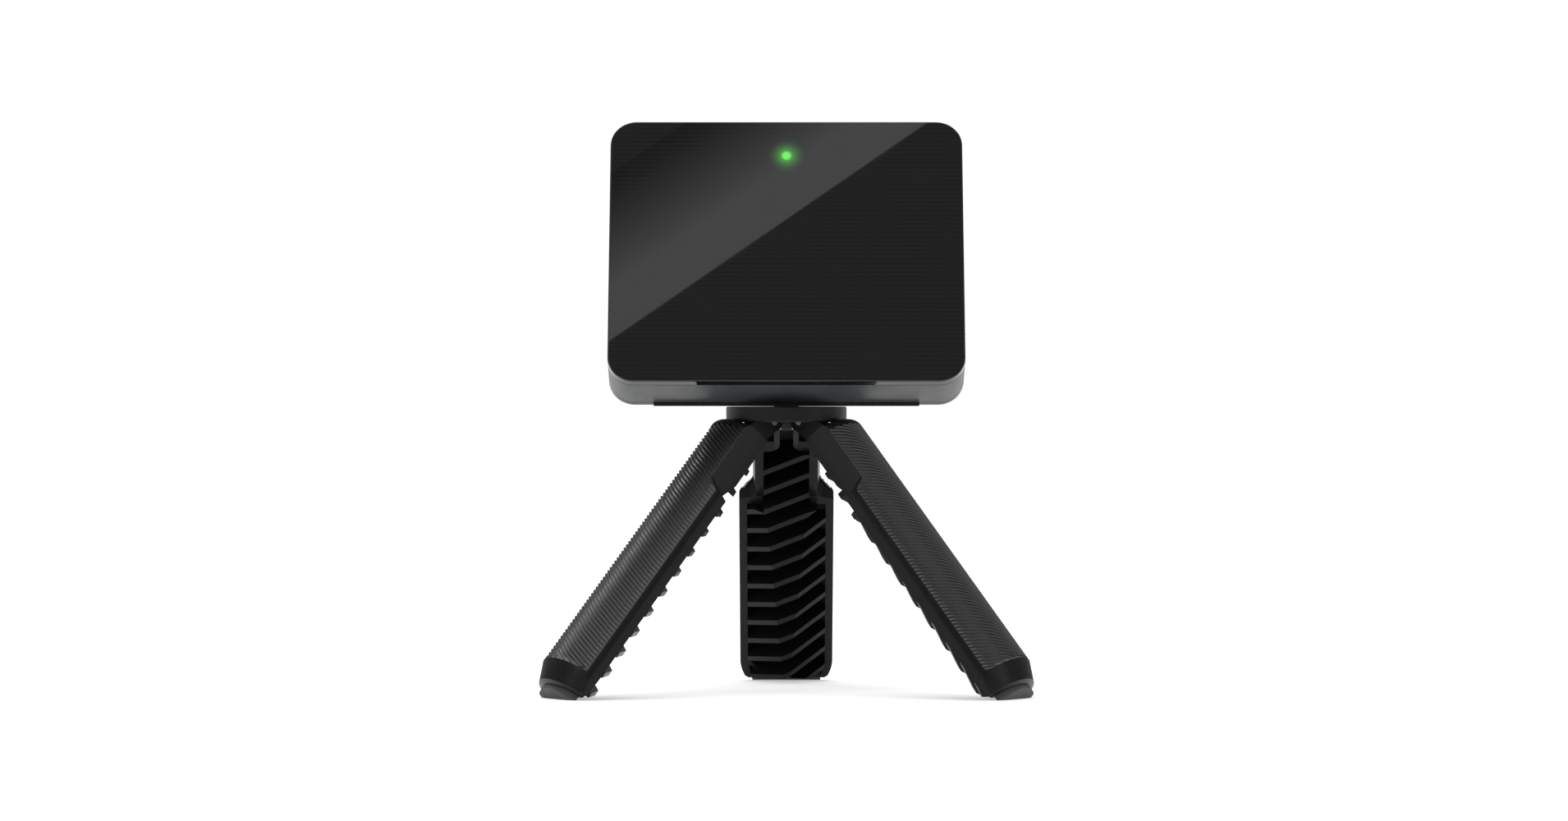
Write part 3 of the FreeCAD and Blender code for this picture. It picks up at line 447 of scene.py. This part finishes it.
def make_camera():
    data = bpy.data.cameras.new("camera")
    data.lens = CAMERA_LENS
    data.sensor_width = 36.0
    data.clip_end = 100.0
    camera = bpy.data.objects.new("camera", data)
    camera.location = AXIS + Vector((CAMERA_ASIDE, -CAMERA_AWAY, CAMERA_HEIGHT))
    camera.rotation_euler = (math.radians(90) + CAMERA_PITCH, 0, 0)
    bpy.context.scene.collection.objects.link(camera)
    bpy.context.scene.camera = camera
    return camera


def stage_mesh(name, size_x, size_y, material):
    mesh = bpy.data.meshes.new(name)
    half = size_x / 2
    corners = [(-half, 0, 0), (half, 0, 0), (half, size_y, 0), (-half, size_y, 0)]
    mesh.from_pydata(corners, [], [(0, 1, 2, 3)])
    mesh.materials.append(material)
    sheet = bpy.data.objects.new(name, mesh)
    bpy.context.scene.collection.objects.link(sheet)
    return sheet


def make_floor():
    """A white light table: mostly lit from above, and glowing a little itself."""
    material, tree, shader = new_material("floor_white")
    haze = noise(tree, place(tree), 0.4, 2)
    tree.links.new(between(tree, haze, grey(0.79), grey(0.81)), shader.inputs["Base Color"])
    shader.inputs["Roughness"].default_value = 0.9
    shader.inputs["Specular IOR Level"].default_value = 0.0
    shader.inputs["Emission Color"].default_value = (1, 1, 1, 1)
    shader.inputs["Emission Strength"].default_value = 0.42
    floor = stage_mesh("floor", FLOOR_SIZE, FLOOR_SIZE, material)
    floor.location = (0, -FLOOR_SIZE / 2, 0)


def mirrored(camera, aside, up, away):
    """The point that the camera sees in the face at a place given from the status light."""
    out = -HEAD_IN
    face = LIGHT + out * (out.dot(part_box("front_panel")[0] - LIGHT))
    behind = camera.location - 2 * out.dot(camera.location - face) * out
    point = face + Vector((aside, 0, 0)) + HEAD_UP * up - (face - LIGHT).dot(HEAD_UP) * HEAD_UP
    ray = point - behind
    return point + ray.normalized() * away


def make_card(camera):
    """The soft card that the glossy face mirrors: one sharp edge, fading away from it."""
    first, second, far = (mirrored(camera, *spot, CARD_AWAY) for spot in (*CARD_EDGE, CARD_FAR))
    along = (first - second).normalized()
    across = far - first
    across -= across.dot(along) * along
    start, reach = (across.length * share for share in CARD_FADE)
    across.normalize()
    material, tree, shader = new_material("card_white")
    depth = add(tree, "ShaderNodeSeparateXYZ", {"Vector": place(tree)}).outputs["Y"]
    fade = add(tree, "ShaderNodeMapRange", {"Value": depth, "From Min": start, "From Max": reach,
                                            "To Min": 1.0, "To Max": 0.0}).outputs[0]
    fade = math_node(tree, "POWER", fade, CARD_FADE_POWER)
    fade = math_node(tree, "MULTIPLY_ADD", fade, CARD_GLOW - CARD_DIM, CARD_DIM)
    shader.inputs["Base Color"].default_value = (0, 0, 0, 1)
    shader.inputs["Specular IOR Level"].default_value = 0.0
    shader.inputs["Emission Color"].default_value = (1, 1, 1, 1)
    tree.links.new(fade, shader.inputs["Emission Strength"])
    card = stage_mesh("card", CARD_LENGTH, reach, material)
    turn = Matrix((along, across, along.cross(across))).transposed().to_4x4()
    card.matrix_world = Matrix.Translation((first + second) / 2) @ turn
    card.visible_camera = False
    card.visible_diffuse = False
    card.visible_shadow = False


def make_area(name, location, size, power, target):
    data = bpy.data.lights.new(name, "AREA")
    data.shape = "RECTANGLE"
    data.size, data.size_y = size
    data.energy = power
    light = bpy.data.objects.new(name, data)
    light.location = location
    light.rotation_euler = (Vector(location) - target).to_track_quat("Z", "Y").to_euler()
    bpy.context.scene.collection.objects.link(light)


def make_lights():
    data = bpy.data.lights.new("overhead", "SUN")
    data.energy = 2.1
    data.angle = math.radians(70)
    overhead = bpy.data.objects.new("overhead", data)
    overhead.rotation_euler = (math.radians(-8), 0, 0)
    bpy.context.scene.collection.objects.link(overhead)
    target = middle("platform_disc")
    make_area("key", (-0.9, -0.7, 0.75), (0.35, 0.9), 3.0, target)
    make_area("fill", (1.0, -0.6, 0.6), (0.5, 0.8), 2.0, target)
    make_area("rim_left", (-0.66, 0.55, 0.72), (0.12, 0.6), 2.2, target)
    make_area("rim_right", (0.66, 0.55, 0.72), (0.12, 0.6), 1.0, target)


def make_world():
    """White behind the object, and a dim room for it to mirror."""
    world = bpy.data.worlds.new("room")
    bpy.context.scene.world = world
    world.use_nodes = True
    tree = world.node_tree
    output = next(node for node in tree.nodes if node.type == "OUTPUT_WORLD")
    seen = add(tree, "ShaderNodeBackground", {"Color": (1, 1, 1, 1), "Strength": 1.05})
    room = add(tree, "ShaderNodeBackground", {"Color": (0.97, 0.98, 1, 1), "Strength": 0.22})
    straight = add(tree, "ShaderNodeLightPath").outputs["Is Camera Ray"]
    mix = add(tree, "ShaderNodeMixShader", {0: straight, 1: room.outputs[0], 2: seen.outputs[0]})
    tree.links.new(mix.outputs[0], output.inputs["Surface"])


paint_nodes()
make_grips()
soften_edges()
make_world()
make_floor()
make_lights()
make_card(make_camera())
bpy.context.scene.view_settings.view_transform = "Standard"
